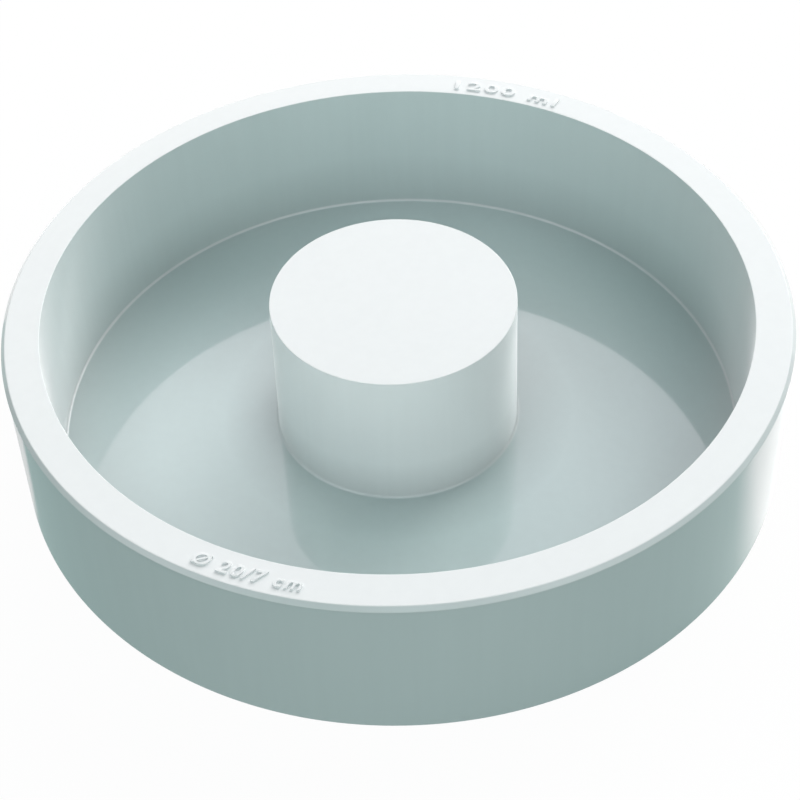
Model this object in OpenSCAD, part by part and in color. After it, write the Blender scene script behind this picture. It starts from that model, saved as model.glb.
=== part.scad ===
// Ring mould for a savarin cake, moulded in one piece of soft silicone.
// It stands on its flat underside with the mouth upwards, and +Z is the axis of the ring.

/* [Cavity] */
// Diameter of the mouth, measured at the rim's upper face
mouth_d = 200; // [160:1:240]
// Diameter of the flat top of the centre plug
plug_d = 70; // [50:1:100]
// Depth of the cavity from the rim's upper face
cavity_h = 44.2; // [30:0.1:60]
// Lean of the cavity's outer wall, in degrees
wall_draft = 1.4; // [0:0.1:3]
// Lean of the plug's side, in degrees
plug_draft = 0.5; // [0:0.1:3]
// Radius where the outer wall meets the cavity's floor
wall_foot_r = 0.8; // [0.4:0.1:5]
// Radius where the plug meets the cavity's floor
plug_foot_r = 0.8; // [0.4:0.1:5]

/* [Rim] */
// Width of the rim from the mouth's edge to the lip's outermost line
rim_w = 10.8; // [7:0.1:16]
// Height of the lip that runs round the rim
lip_h = 1.6; // [1.6:0.1:5]
// How far the lip stands out from the outer wall
lip_out = 0.3; // [0.25:0.05:2]
// Slanted edge between the rim's upper face and the lip
lip_slant = 1.1; // [0.8:0.05:1.15]
// Radius at both ends of the slanted edge
slant_r = 0.5; // [0.2:0.1:0.7]

/* [Body] */
// Thickness of the cavity's floor
floor_t = 2.8; // [1.5:0.1:5]
// Thickness of the plug's side, which is hollow from below
plug_wall = 3; // [2:0.1:8]
// Thickness of the plug's top
plug_top_t = 3; // [2:0.1:8]
// Radius inside the top of the hollow plug
hollow_top_r = 2; // [0.5:0.1:5]
// Radius round the mouth of the hollow under the plug
hollow_edge_r = 1; // [0.3:0.1:2]
// Radius round the foot of the outer wall
base_edge_r = 0.4; // [0.3:0.1:2]
// Radius that breaks the sharp edges of the mouth, the plug and the lip
edge_r = 0.2; // [0.1:0.02:0.24]

/* [Hidden] */

$fn = 180;
total_h = cavity_h + floor_t;
mouth_r = mouth_d / 2;
plug_r = plug_d / 2;
lip_r = mouth_r + rim_w;
wall_r = lip_r - lip_out;
// Radii of the drafted walls at the cavity's floor
cavity_foot = mouth_r - cavity_h * tan(wall_draft);
plug_foot = plug_r + cavity_h * tan(plug_draft);
// The hollow's side lies one plug wall inside the plug's side
hollow_h = total_h - plug_top_t;
hollow_gap = plug_wall / cos(plug_draft);
hollow_top = plug_r + plug_top_t * tan(plug_draft) - hollow_gap;
hollow_foot = plug_r + total_h * tan(plug_draft) - hollow_gap;
// Every cutter passes the face that it opens by this much
overcut = 5;
// Every round crosses its two faces by this much, so that no step is left between them
bite = 0.002;

// Point at a distance from another, in a direction in degrees
function away(p, angle, distance) = [p[0] + distance * cos(angle), p[1] + distance * sin(angle)];

// What lies between a corner and the round that softens it.
// The two faces leave the corner in the directions from and to, less than half a turn apart.
module corner(p, from, to, r) {
    half = (to - from) / 2;
    middle = (to + from) / 2;
    reach = r / tan(half);
    centre = away(p, middle, r / sin(half));
    difference() {
        polygon([away(p, from, reach), away(p, middle, -r), away(p, to, reach), centre]);
        translate(centre) circle(r + bite);
    }
}

// Half section of the body before it is hollowed: a drum with the lip round its top
module drum_section() {
    difference() {
        polygon([
            [0, 0],
            [wall_r, 0],
            [wall_r, total_h - lip_h],
            [lip_r, total_h - lip_h],
            [lip_r, total_h - lip_slant],
            [lip_r - lip_slant, total_h],
            [0, total_h],
        ]);
        corner([lip_r - lip_slant, total_h], 180, 315, slant_r);
        corner([lip_r, total_h - lip_slant], 135, 270, slant_r);
        corner([lip_r, total_h - lip_h], 90, 180, edge_r);
        corner([wall_r, 0], 90, 180, base_edge_r);
    }
}

// Half section of the ring-shaped cavity, which runs on above the rim
module cavity_section() {
    over_mouth = mouth_r + overcut * tan(wall_draft);
    over_plug = plug_r - overcut * tan(plug_draft);
    difference() {
        polygon([
            [plug_foot, floor_t],
            [cavity_foot, floor_t],
            [over_mouth, total_h + overcut],
            [over_plug, total_h + overcut],
        ]);
        corner([cavity_foot, floor_t], 90 - wall_draft, 180, wall_foot_r);
        corner([plug_foot, floor_t], 0, 90 + plug_draft, plug_foot_r);
    }
}

// Half section of the hollow inside the plug, which runs on below the underside
module hollow_section() {
    below_foot = hollow_foot + overcut * tan(plug_draft);
    difference() {
        polygon([
            [0, -overcut],
            [below_foot, -overcut],
            [hollow_top, hollow_h],
            [0, hollow_h],
        ]);
        corner([hollow_top, hollow_h], 180, 270 + plug_draft, hollow_top_r);
    }
}

// Half section of the mould, with the rims of its cavity and of its hollow rounded off
module mould_section() {
    difference() {
        drum_section();
        cavity_section();
        hollow_section();
        corner([mouth_r, total_h], 270 - wall_draft, 360, edge_r);
        corner([plug_r, total_h], 180, 270 + plug_draft, edge_r);
        corner([hollow_foot, 0], 0, 90 + plug_draft, hollow_edge_r);
    }
}

module ring_mould() {
    color("azure")
        rotate_extrude()
            mould_section();
}

ring_mould();
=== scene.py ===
import math

import bpy
import bmesh
from mathutils import Matrix, Vector


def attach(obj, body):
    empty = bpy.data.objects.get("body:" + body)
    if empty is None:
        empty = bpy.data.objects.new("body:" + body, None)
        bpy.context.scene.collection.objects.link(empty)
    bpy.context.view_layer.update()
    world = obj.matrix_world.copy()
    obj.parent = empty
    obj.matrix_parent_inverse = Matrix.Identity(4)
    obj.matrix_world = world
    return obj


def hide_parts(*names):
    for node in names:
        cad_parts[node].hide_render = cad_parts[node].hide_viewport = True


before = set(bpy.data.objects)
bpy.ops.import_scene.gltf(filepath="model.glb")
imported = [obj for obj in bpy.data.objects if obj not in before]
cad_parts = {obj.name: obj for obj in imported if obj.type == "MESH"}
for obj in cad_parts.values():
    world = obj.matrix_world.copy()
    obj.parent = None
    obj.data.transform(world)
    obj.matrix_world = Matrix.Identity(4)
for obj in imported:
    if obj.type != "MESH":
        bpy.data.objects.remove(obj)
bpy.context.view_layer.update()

mm = 0.001
print("packed mould loaded")


def moveToScene(thing):
    bpy.context.scene.collection.objects.link(thing)
    return thing


# node helpers: each one places a node, feeds it and gives back the socket that it puts out

def addNode(tree, kind, place, **settings):
    made = tree.nodes.new(kind)
    made.location = place
    for name, value in settings.items():
        setattr(made, name, value)
    return made


def linkOrSet(tree, sockets, values):
    # a value is another node's socket, a fixed value, or None to leave the socket alone
    for socket, value in zip(sockets, values):
        if isinstance(value, bpy.types.NodeSocket):
            tree.links.new(value, socket)
        elif value is not None:
            socket.default_value = value


def vectorStep(tree, operation, first, second, place):
    made = addNode(tree, "ShaderNodeVectorMath", place, operation=operation)
    linkOrSet(tree, made.inputs, (first, second))
    return made.outputs["Value" if operation in ("DOT_PRODUCT", "LENGTH") else "Vector"]


def numberStep(tree, operation, first, second, place):
    made = addNode(tree, "ShaderNodeMath", place, operation=operation)
    linkOrSet(tree, made.inputs, (first, second))
    return made.outputs[0]


def mixColours(tree, share, first, second, place, blend="MIX"):
    made = addNode(tree, "ShaderNodeMix", place, data_type="RGBA", blend_type=blend)
    # the node's sockets 6 and 7 and its output 2 are the ones for colours
    linkOrSet(tree, (made.inputs[0], made.inputs[6], made.inputs[7]), (share, first, second))
    return made.outputs[2]


def mixShaders(tree, share, first, second, place):
    made = addNode(tree, "ShaderNodeMixShader", place)
    linkOrSet(tree, made.inputs, (share, first, second))
    return made.outputs[0]


def noiseAt(tree, where, scale, detail, place):
    made = addNode(tree, "ShaderNodeTexNoise", place)
    made.inputs["Scale"].default_value = scale
    made.inputs["Detail"].default_value = detail
    tree.links.new(where, made.inputs["Vector"])
    return made.outputs[0]


def stretchRange(tree, value, low, high, toLow, toHigh, place):
    made = addNode(tree, "ShaderNodeMapRange", place)
    for key, number in zip(("From Min", "From Max", "To Min", "To Max"), (low, high, toLow, toHigh)):
        made.inputs[key].default_value = number
    tree.links.new(value, made.inputs["Value"])
    return made.outputs[0]


def cloudTone(tree, clouds, spread, colours, place):
    # runs from the first colour to the second where the clouds run through the spread
    ramp = addNode(tree, "ShaderNodeValToRGB", place)
    for stop, position, colour in zip(ramp.color_ramp.elements, spread, colours):
        stop.position = position
        stop.color = (*colour, 1)
    tree.links.new(clouds, ramp.inputs[0])
    return ramp.outputs[0]


def emptyTree(made):
    made.use_nodes = True
    made.node_tree.nodes.clear()
    return made.node_tree


# camera, fitted to the mouth, the plug and the foot of the wall
cameraView = {
    "aimHeight": 47 * mm,       # the rim's upper face
    "distance": 516.088 * mm,
    "elevation": 41.728,
    "yaw": -2.565,
    "pitch": -0.667,
    "roll": 2.435,
    "lens": 82.2542,
    "sensor": 36,
    "shift": (0.1125, -0.15),
    "clip": (0.01, 50),
}


def makeCamera(v):
    tilt = math.radians(v["elevation"])
    place = Vector((0, -math.cos(tilt), math.sin(tilt))) * v["distance"]
    back = place.normalized()
    right = Vector((0, 0, 1)).cross(back).normalized()
    aimed = Matrix((right, back.cross(right), back))
    turn = Matrix.Identity(3)
    for axis, key in (("Z", "roll"), ("X", "pitch"), ("Y", "yaw")):
        turn = turn @ Matrix.Rotation(math.radians(v[key]), 3, axis)
    eye = bpy.data.cameras.new("studioCamera")
    eye.lens, eye.sensor_width = v["lens"], v["sensor"]
    eye.shift_x, eye.shift_y = v["shift"]
    eye.clip_start, eye.clip_end = v["clip"]
    holder = moveToScene(bpy.data.objects.new("studioCamera", eye))
    stand = place + Vector((0, 0, v["aimHeight"]))
    holder.matrix_world = Matrix.Translation(stand) @ (turn @ aimed).transposed().to_4x4()
    bpy.context.scene.camera = holder


makeCamera(cameraView)
print("camera set")


# white silicone
silicone = {
    # the darkest and the lightest of the faint clouds: walls and floor, then the paler tone painted as
    # light on the level faces at the top, the slant, the plug's side and the feet
    "body": ((0.562, 0.655, 0.652), (0.572, 0.665, 0.662)),
    "white": ((0.764, 0.787, 0.792), (0.770, 0.793, 0.798)),
    "cloudSize": 26,            # noise scale, per metre
    "cloudSpread": (0.3, 0.7),
    "topFrom": (46.75 * mm, 46.95 * mm),
    # painted light: the rim's slanted edge is made paler where light falls on it
    "slant": 0.45,              # how far the rim's slanted edge goes from body to white
    "slantReach": (108.8 * mm, 109.4 * mm),
    "slantFrom": (45.5 * mm, 45.95 * mm),
    # painted light: the plug's side is made paler as if lit
    "plug": 0.95,               # the same for the plug's side
    "plugReach": (35.5 * mm, 36.2 * mm),
    # painted highlight: thin pale lines along the feet, where the small rounds would catch the light
    "foot": 0.8,                # the same for the thin pale lines where the walls meet the floor
    "footStart": (2.81 * mm, 2.93 * mm),
    "footEnd": (3.35 * mm, 3.75 * mm),
    "footReach": (99.5 * mm, 100.5 * mm),
    # painted shade: how much greyer the corners are, and how far that reaches along the floor and up
    # the walls
    "wallCornerShade": (0.17, 72 * mm, 99 * mm, 3 * mm, 22 * mm),
    "plugCornerShade": (0.20, 52 * mm, 36 * mm, 3 * mm, 16 * mm),
    # flow lines down the walls
    "streakSize": 340,
    "streakStretch": 0.035,     # their width over their length
    "streakSpread": (0.35, 0.65),
    "streakShade": 0.012,
    "streakHeight": 0.002 * mm,
    # patches worn duller by handling, and the fine grain of the mould's tool
    "handlingSize": 90,
    "handlingSpread": (0.35, 0.7),
    "roughness": (0.055, 0.10),
    "topRoughness": 0.22,       # added on the level faces
    "grainSize": 5200,
    "grainHeight": 0.0015 * mm,
    "coat": (0.8, 0.0),         # gloss of the walls, and of the level faces
    # the sheen is the whitish veil seen at grazing angles
    "shader": {
        "IOR": 1.45,
        "Specular IOR Level": 0.25,
        "Sheen Weight": 1.0,
        "Sheen Roughness": 0.4,
        "Coat Roughness": 0.04,
    },
}


def makeSilicone(name, s):
    made = bpy.data.materials.new(name)
    tree = emptyTree(made)
    link = tree.links.new
    out = addNode(tree, "ShaderNodeOutputMaterial", (900, 0))
    skin = addNode(tree, "ShaderNodeBsdfPrincipled", (600, 0))
    for socket, value in s["shader"].items():
        skin.inputs[socket].default_value = value
    link(skin.outputs[0], out.inputs["Surface"])
    where = addNode(tree, "ShaderNodeTexCoord", (-1300, 0)).outputs["Object"]
    split = addNode(tree, "ShaderNodeSeparateXYZ", (-1100, 0))
    link(where, split.inputs[0])
    height = split.outputs["Z"]
    flat = vectorStep(tree, "MULTIPLY", where, (1, 1, 0), (-1100, -150))
    away = vectorStep(tree, "LENGTH", flat, None, (-900, -150))

    # painted light: whiter on the plug, on the level faces at the top and on the slant, and a painted
    # highlight along the feet
    isTop = stretchRange(tree, height, *s["topFrom"], 0, 1, (-600, -50))
    slantOut = stretchRange(tree, away, *s["slantReach"], 0, s["slant"], (-900, 0))
    slantUp = stretchRange(tree, height, *s["slantFrom"], 0, 1, (-750, 0))
    slantPaintedLight = numberStep(tree, "MULTIPLY", slantOut, slantUp, (-600, 0))
    plugPaintedLight = stretchRange(tree, away, *s["plugReach"], s["plug"], 0, (-600, -200))
    # painted highlight along the feet of the walls and the plug
    footRise = stretchRange(tree, height, *s["footStart"], 0, s["foot"], (-900, 150))
    footFall = stretchRange(tree, height, *s["footEnd"], 1, 0, (-750, 150))
    footInside = stretchRange(tree, away, *s["footReach"], 1, 0, (-600, 100))
    footPaintedHighlight = numberStep(tree, "MULTIPLY", footRise, footFall, (-500, 150))
    footPaintedHighlight = numberStep(tree, "MULTIPLY", footPaintedHighlight, footInside, (-450, 100))
    paintedLightMask = isTop
    for row, part in enumerate((plugPaintedLight, footPaintedHighlight, slantPaintedLight)):
        paintedLightMask = numberStep(tree, "MAXIMUM", paintedLightMask, part, (-420 + 60 * row, -100))
    clouds = noiseAt(tree, where, s["cloudSize"], 2, (-900, 400))
    body = cloudTone(tree, clouds, s["cloudSpread"], s["body"], (-600, 450))
    white = cloudTone(tree, clouds, s["cloudSpread"], s["white"], (-600, 200))
    tone = mixColours(tree, paintedLightMask, body, white, (-250, 300))

    # painted shade: greyer towards the corners of the cavity, where occlusion falls
    corners = 0.0
    for row, key in enumerate(("wallCornerShade", "plugCornerShade")):
        amount, far, near, start, end = s[key]
        up = 700 + 200 * row
        close = stretchRange(tree, away, far, near, 0, amount, (-900, up))
        deep = stretchRange(tree, height, start, end, 1, 0, (-750, up))
        grey = numberStep(tree, "MULTIPLY", close, deep, (-600, up))
        corners = numberStep(tree, "MAXIMUM", grey, corners, (-450, up))
    corners = numberStep(tree, "MULTIPLY", corners, footInside, (-300, 700))
    lit = numberStep(tree, "SUBTRACT", 1.0, corners, (-150, 700))

    # flow lines of the moulding, drawn out along the axis
    squeeze = addNode(tree, "ShaderNodeMapping", (-1100, -300))
    squeeze.inputs["Scale"].default_value = (1, 1, s["streakStretch"])
    link(where, squeeze.inputs["Vector"])
    streaks = noiseAt(tree, squeeze.outputs[0], s["streakSize"], 2, (-900, -300))
    veil = stretchRange(tree, streaks, *s["streakSpread"], 1 - s["streakShade"], 1, (-600, -300))
    shade = numberStep(tree, "MULTIPLY", veil, lit, (-100, -200))
    link(mixColours(tree, 1, tone, shade, (50, 200), "MULTIPLY"), skin.inputs["Base Color"])

    # glossy walls and satin level faces, both a little duller where hands have been
    link(stretchRange(tree, isTop, 0, 1, *s["coat"], (300, -250)), skin.inputs["Coat Weight"])
    handling = noiseAt(tree, where, s["handlingSize"], 2, (-900, -600))
    worn = stretchRange(tree, handling, *s["handlingSpread"], *s["roughness"], (-600, -600))
    duller = stretchRange(tree, isTop, 0, 1, 0, s["topRoughness"], (-400, -700))
    link(numberStep(tree, "ADD", worn, duller, (-200, -650)), skin.inputs["Roughness"])

    # one bump for the flow lines and the grain, its height counted in metres
    grain = noiseAt(tree, where, s["grainSize"], 1, (-900, -850))
    flow = numberStep(tree, "MULTIPLY", streaks, s["streakHeight"], (-450, -500))
    dust = numberStep(tree, "MULTIPLY", grain, s["grainHeight"], (-450, -850))
    relief = addNode(tree, "ShaderNodeBump", (50, -500))
    relief.inputs["Distance"].default_value = 1.0
    link(numberStep(tree, "ADD", flow, dust, (-250, -600)), relief.inputs["Height"])
    link(relief.outputs[0], skin.inputs["Normal"])
    return made


whiteSilicone = makeSilicone("whiteSilicone", silicone)


# the mould, one half section spun round the axis
ringMould = {
    "mouthRadius": 100 * mm,
    "plugRadius": 35 * mm,
    "cavityDepth": 44.2 * mm,
    "floorThickness": 2.8 * mm,
    "wallLean": 1.4,            # in degrees, like the plug's
    "plugLean": 0.5,
    "wallFootRound": 0.8 * mm,
    "plugFootRound": 0.8 * mm,
    "rimWidth": 10.8 * mm,
    "lipHeight": 1.6 * mm,
    "lipOut": 0.3 * mm,
    "lipSlant": 1.1 * mm,
    "slantRound": 0.5 * mm,
    "edgeRound": 0.2 * mm,
    "baseRound": 0.4 * mm,
    "plugWall": 3 * mm,
    "plugTop": 3 * mm,
    "hollowTopRound": 2 * mm,
    "hollowEdgeRound": 1 * mm,
    # the mesh: steps round the axis, and steps along a round that is larger than the size given
    "spinSteps": 480,
    "arcSteps": ((0.9 * mm, 10), (0.4 * mm, 8), (0, 5)),
    "hold": 0.06 * mm,          # loops this close to both ends of a flat keep it flat
    "pitch": 7 * mm,            # others keep the faces short
    "mergeGap": 0.005 * mm,
}
rimHeight = ringMould["cavityDepth"] + ringMould["floorThickness"]


def sectionCorners(m):
    # (radius, height, round) of every corner, from the plug's top over the rim to the hollow
    wallTan, plugTan = (math.tan(math.radians(m[key])) for key in ("wallLean", "plugLean"))
    lip = m["mouthRadius"] + m["rimWidth"]
    wall = lip - m["lipOut"]
    gap = m["plugWall"] / math.cos(math.radians(m["plugLean"]))
    hollowTop = rimHeight - m["plugTop"]
    return [
        (0, rimHeight, 0),
        (m["plugRadius"], rimHeight, m["edgeRound"]),
        (m["plugRadius"] + m["cavityDepth"] * plugTan, m["floorThickness"], m["plugFootRound"]),
        (m["mouthRadius"] - m["cavityDepth"] * wallTan, m["floorThickness"], m["wallFootRound"]),
        (m["mouthRadius"], rimHeight, m["edgeRound"]),
        (lip - m["lipSlant"], rimHeight, m["slantRound"]),
        (lip, rimHeight - m["lipSlant"], m["slantRound"]),
        (lip, rimHeight - m["lipHeight"], m["edgeRound"]),
        (wall, rimHeight - m["lipHeight"], 0),
        (wall, 0, m["baseRound"]),
        (m["plugRadius"] + rimHeight * plugTan - gap, 0, m["hollowEdgeRound"]),
        (m["plugRadius"] + m["plugTop"] * plugTan - gap, hollowTop, m["hollowTopRound"]),
        (0, hollowTop, 0),
    ]


def softenCorner(before, corner, after, size, arcSteps):
    # points of the arc that rounds one corner
    here = Vector(corner)
    if size == 0:
        return [here]
    back, on = (Vector(before) - here).normalized(), (Vector(after) - here).normalized()
    half = back.angle(on) / 2
    swing = math.pi - 2 * half
    reach = size / math.tan(half)
    centre = here + (back + on).normalized() * size / math.sin(half)
    start, end = here + back * reach - centre, here + on * reach - centre
    steps = next(count for least, count in arcSteps if size > least)
    arc = []
    for i in range(steps + 1):
        t = i / steps
        a = math.sin((1 - t) * swing) / math.sin(swing)
        b = math.sin(t * swing) / math.sin(swing)
        arc.append(centre + start * a + end * b)
    return arc


def fillStraight(start, end, hold, pitch):
    # points between two arcs, one near each end and the others evenly spread
    run = end - start
    length = run.length
    if length < 3 * hold:
        return []
    count = int(length / pitch)
    marks = [hold] + [length * (i + 1) / (count + 1) for i in range(count)] + [length - hold]
    return [start + run * (d / length) for d in marks]


def sectionPoints(m):
    corners = sectionCorners(m)
    arcs = [[Vector(corners[0][:2])]]
    for before, (x, z, size), after in zip(corners, corners[1:], corners[2:]):
        arcs.append(softenCorner(before[:2], (x, z), after[:2], size, m["arcSteps"]))
    arcs.append([Vector(corners[-1][:2])])
    line = list(arcs[0])
    for arc in arcs[1:]:
        line += fillStraight(line[-1], arc[0], m["hold"], m["pitch"]) + arc
    return line


def closeMesh(bm, mesh, gap):
    # joins doubled points, turns the faces outwards and smooths them
    bmesh.ops.remove_doubles(bm, verts=bm.verts, dist=gap)
    bmesh.ops.recalc_face_normals(bm, faces=bm.faces)
    for face in bm.faces:
        face.smooth = True
    bm.to_mesh(mesh)
    bm.free()


def spinSection(name, line, m):
    mesh = bpy.data.meshes.new(name)
    bm = bmesh.new()
    row = [bm.verts.new((p.x, 0, p.y)) for p in line]
    edges = [bm.edges.new(pair) for pair in zip(row, row[1:])]
    bmesh.ops.spin(bm, geom=row + edges, cent=(0, 0, 0), axis=(0, 0, 1),
                   angle=math.tau, steps=m["spinSteps"], use_merge=True)
    closeMesh(bm, mesh, m["mergeGap"])
    return moveToScene(bpy.data.objects.new(name, mesh))


def finishPiece(piece, material):
    piece.data.materials.clear()
    piece.data.materials.append(material)
    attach(piece, "root")
    return piece


mouldBody = spinSection("mouldBody", sectionPoints(ringMould), ringMould)
finishPiece(mouldBody, whiteSilicone)
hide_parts("ring_mould")
print("mould spun:", len(mouldBody.data.polygons), "faces")


# raised marks on the rim: a size and a volume
rimMarks = {
    "height": 0.5 * mm,         # how far the letters stand up
    "sink": 0.1 * mm,           # how far they start below the rim's face
    "softEdge": 0.06 * mm,
    "weight": 0.0105,           # thickens the strokes, as a share of the letter size
    "spacing": 1.18,
    "capHeight": 0.73,          # height of a capital over the letter size
    "sharpAngle": 50,
    "mergeGap": 0.002 * mm,
}

sizeMark = {
    "words": "Ø 20/7 cm",
    "middle": -111.3,           # direction of the line's middle, in degrees
    "feet": 107.3 * mm,         # radius of the letters' feet
    "tall": 3.9 * mm,
    "length": 29 * mm,          # along the rim
    "lean": 0.22,
    "side": -1,                 # the letters' tops point to the axis
}

volumeMark = {
    "words": "1200 ml",
    "middle": 67.8,
    "feet": 102.4 * mm,
    "tall": 4.2 * mm,
    "length": 34 * mm,
    "lean": 0.0,
    "side": 1,                  # the letters' tops point away from the axis
}


def writeLetters(line, s, unit):
    # the letters as one mesh, flat and unbent, in the font's own unit
    curve = bpy.data.curves.new(line["words"], "FONT")
    curve.body = line["words"]
    curve.size = 1.0
    curve.shear = line["lean"]
    curve.space_character = s["spacing"]
    curve.offset = s["weight"]
    curve.resolution_u = 6
    curve.extrude = (s["height"] + s["sink"]) / 2 / unit
    curve.bevel_depth = s["softEdge"] / unit
    curve.bevel_resolution = 2
    carrier = moveToScene(bpy.data.objects.new(line["words"], curve))
    bpy.context.view_layer.update()
    shown = carrier.evaluated_get(bpy.context.evaluated_depsgraph_get())
    mesh = bpy.data.meshes.new_from_object(shown)
    bpy.data.objects.remove(carrier)
    bpy.data.curves.remove(curve)
    return mesh


def bendRound(mesh, line, s, unit):
    # bends the letters along the rim and seats them in its upper face
    xs = [v.co.x for v in mesh.vertices]
    zs = [v.co.z for v in mesh.vertices]
    left, wide = min(xs), max(xs) - min(xs)
    bottom, deep = min(zs), max(zs) - min(zs)
    side = line["side"]
    middleRadius = line["feet"] + side * line["tall"] / 2
    for v in mesh.vertices:
        along = ((v.co.x - left) / wide - 0.5) * line["length"]
        radius = line["feet"] + side * v.co.y * unit
        angle = math.radians(line["middle"]) - side * along / middleRadius
        rise = (v.co.z - bottom) / deep * (s["height"] + s["sink"]) - s["sink"]
        v.co = (radius * math.cos(angle), radius * math.sin(angle), rimHeight + rise)


def makeMark(name, line, s):
    unit = line["tall"] / s["capHeight"]
    mesh = writeLetters(line, s, unit)
    mesh.name = name
    bendRound(mesh, line, s, unit)
    bm = bmesh.new()
    bm.from_mesh(mesh)
    closeMesh(bm, mesh, s["mergeGap"])
    mesh.set_sharp_from_angle(angle=math.radians(s["sharpAngle"]))
    finishPiece(moveToScene(bpy.data.objects.new(name, mesh)), whiteSilicone)
    print("mark", name, len(mesh.polygons), "faces")


makeMark("sizeMark", sizeMark, rimMarks)
makeMark("volumeMark", volumeMark, rimMarks)


# floor and studio light
studioFloor = {
    "size": 6.0,
    "drop": 0.1 * mm,               # how far it lies below the mould
    "tone": (0.25, 0.25, 0.25),     # what lights the mould from below
    "leftShade": 0.25,              # how much of the tone is left on the mould's left side
    "shadeReach": (-160 * mm, 60 * mm),
    "shadowPaper": (0.95, 0.95, 0.95),
    "white": 0.96,                  # share of plain white in what the camera sees
    # the mould mirrors white paper behind it and a greyer one in front and at the sides; they
    # meet along straight edges: direction in degrees, distance from the axis, softness
    "mirrorWhite": (1.12, 1.12, 1.12),
    "mirrorGrey": (0.28, 0.49, 0.47),
    "paperEdges": ((112, -88 * mm, 13 * mm), (39, -103.6 * mm, 3 * mm), (90, -85 * mm, 20 * mm)),
}

studioSky = {
    # large soft diffusers round the mould: azimuth and elevation in degrees, and their light
    "largeNarrow": 20,              # the higher, the narrower the glow
    "large": (
        (270, 65, (0.51, 0.76, 0.84)),
        (90, 45, (0.92, 0.81, 0.94)),
        (120, 45, (0.86, 0.80, 0.79)),
        (180, 45, (0.91, 1.00, 0.96)),
        (225, 45, (0.25, 0.42, 0.42)),
        (315, 45, (1.71, 1.82, 1.72)),
        (45, 27, (3.94, 3.89, 3.83)),
        (60, 27, (4.28, 4.25, 4.22)),
        (75, 27, (0.68, 0.78, 0.84)),
        (90, 27, (0.86, 0.80, 0.78)),
        (105, 27, (1.57, 1.46, 1.36)),
        (210, 27, (0.55, 0.41, 0.51)),
        (300, 27, (0.58, 0.44, 0.50)),
        (330, 27, (0.40, 0.35, 0.38)),
        (60, 10, (3.45, 3.32, 3.28)),
        (90, 10, (1.51, 1.43, 1.39)),
        (210, 10, (1.42, 1.39, 1.33)),
        (240, 10, (0.75, 0.93, 0.86)),
        (270, 10, (1.24, 1.44, 1.35)),
        (300, 10, (0.63, 0.80, 0.80)),
    ),
    # the small one on the camera's side
    "smallNarrow": 60,
    "small": ((270, 45, (1.30, 1.50, 1.50)),),
}


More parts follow.
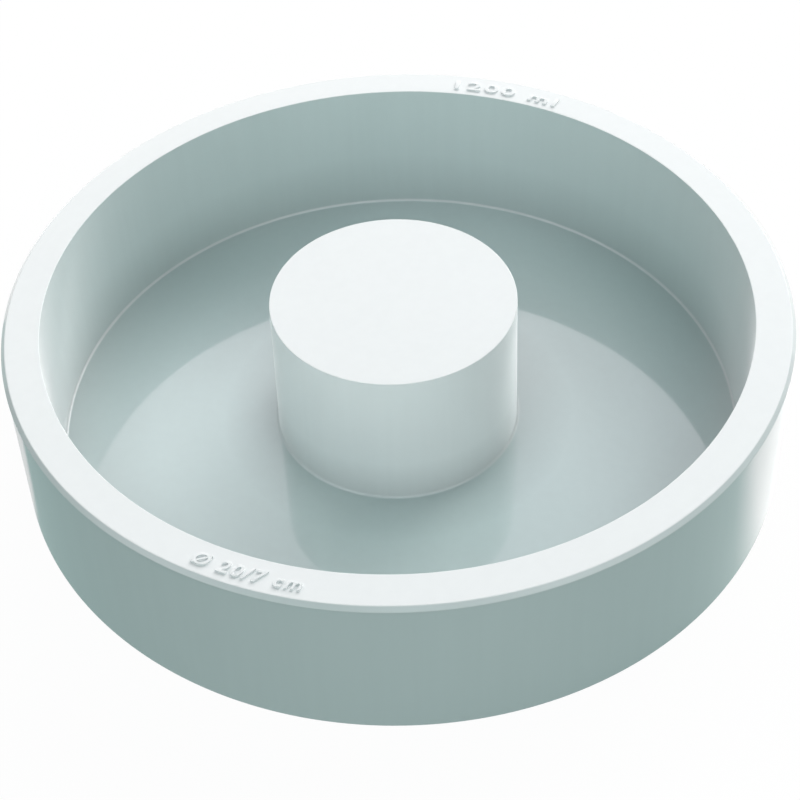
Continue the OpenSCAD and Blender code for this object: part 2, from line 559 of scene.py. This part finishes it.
def makeFloor(s):
    half = s["size"] / 2
    mesh = bpy.data.meshes.new("studioFloor")
    square = [(-half, -half, 0), (half, -half, 0), (half, half, 0), (-half, half, 0)]
    mesh.from_pydata(square, [], [(0, 1, 2, 3)])
    sheet = moveToScene(bpy.data.objects.new("studioFloor", mesh))
    sheet.location.z = -s["drop"]
    made = bpy.data.materials.new("palePaper")
    tree = emptyTree(made)
    link = tree.links.new
    out = addNode(tree, "ShaderNodeOutputMaterial", (900, 0))
    where = addNode(tree, "ShaderNodeTexCoord", (-1000, -600)).outputs["Object"]
    split = addNode(tree, "ShaderNodeSeparateXYZ", (-800, 100))
    link(where, split.inputs[0])

    # what the mould gets from below, darker at the left
    sideways = stretchRange(tree, split.outputs["X"], *s["shadeReach"], s["leftShade"], 1, (-600, 100))
    paper = addNode(tree, "ShaderNodeBsdfDiffuse", (0, 0))
    link(vectorStep(tree, "MULTIPLY", s["tone"], sideways, (-300, 100)), paper.inputs["Color"])

    # for the camera: white that keeps the mould's faint shadow
    shadowed = addNode(tree, "ShaderNodeBsdfDiffuse", (0, -150))
    shadowed.inputs["Color"].default_value = (*s["shadowPaper"], 1)
    glow = addNode(tree, "ShaderNodeEmission", (0, -300))
    seen = mixShaders(tree, s["white"], shadowed.outputs[0], glow.outputs[0], (250, -200))

    # for reflections: the papers and their edges
    inside = 1.0
    for row, (direction, distance, soft) in enumerate(s["paperEdges"]):
        low = -500 - 200 * row
        turn = math.radians(direction)
        outwards = (math.cos(turn), math.sin(turn), 0)
        across = vectorStep(tree, "DOT_PRODUCT", where, outwards, (-800, low))
        start, end = distance - soft / 2, distance + soft / 2
        behind = stretchRange(tree, across, start, end, 0, 1, (-600, low))
        inside = numberStep(tree, "MULTIPLY", behind, inside, (-400, low))
    papers = mixColours(tree, inside, (*s["mirrorGrey"], 1), (*s["mirrorWhite"], 1), (-200, -600))
    mirrored = addNode(tree, "ShaderNodeEmission", (0, -550))
    link(papers, mirrored.inputs["Color"])

    ray = addNode(tree, "ShaderNodeLightPath", (250, 400)).outputs
    unseen = mixShaders(tree, ray["Is Glossy Ray"], paper.outputs[0], mirrored.outputs[0], (500, 0))
    link(mixShaders(tree, ray["Is Camera Ray"], unseen, seen, (700, 0)), out.inputs["Surface"])
    mesh.materials.append(made)


def makeSky(s):
    world = bpy.data.worlds.new("studioSky")
    bpy.context.scene.world = world
    tree = emptyTree(world)
    link = tree.links.new
    out = addNode(tree, "ShaderNodeOutputWorld", (900, 0))
    way = addNode(tree, "ShaderNodeTexCoord", (-900, 0)).outputs["Generated"]
    glows = [(*glow, s[size + "Narrow"]) for size in ("large", "small") for glow in s[size]]
    total = None
    for row, (azimuth, elevation, light, narrow) in enumerate(glows):
        a, e = math.radians(azimuth), math.radians(elevation)
        low = -160 * row
        towards = (math.cos(a) * math.cos(e), math.sin(a) * math.cos(e), math.sin(e))
        facing = vectorStep(tree, "DOT_PRODUCT", way, towards, (-700, low))
        front = numberStep(tree, "MAXIMUM", facing, 0.0, (-500, low))
        spot = numberStep(tree, "POWER", front, narrow, (-300, low))
        lit = vectorStep(tree, "MULTIPLY", light, spot, (-100, low))
        total = vectorStep(tree, "ADD", total, lit, (100, low)) if total else lit
    sky = addNode(tree, "ShaderNodeBackground", (400, 0))
    link(total, sky.inputs["Color"])

    # plain white behind the floor's far edge
    plain = addNode(tree, "ShaderNodeBackground", (400, -200))
    plain.inputs["Color"].default_value = (1, 1, 1, 1)
    isCamera = addNode(tree, "ShaderNodeLightPath", (400, 400)).outputs["Is Camera Ray"]
    link(mixShaders(tree, isCamera, sky.outputs[0], plain.outputs[0], (650, 0)), out.inputs["Surface"])


makeFloor(studioFloor)
makeSky(studioSky)
bpy.context.scene.view_settings.view_transform = "Standard"
print("floor and light ready")
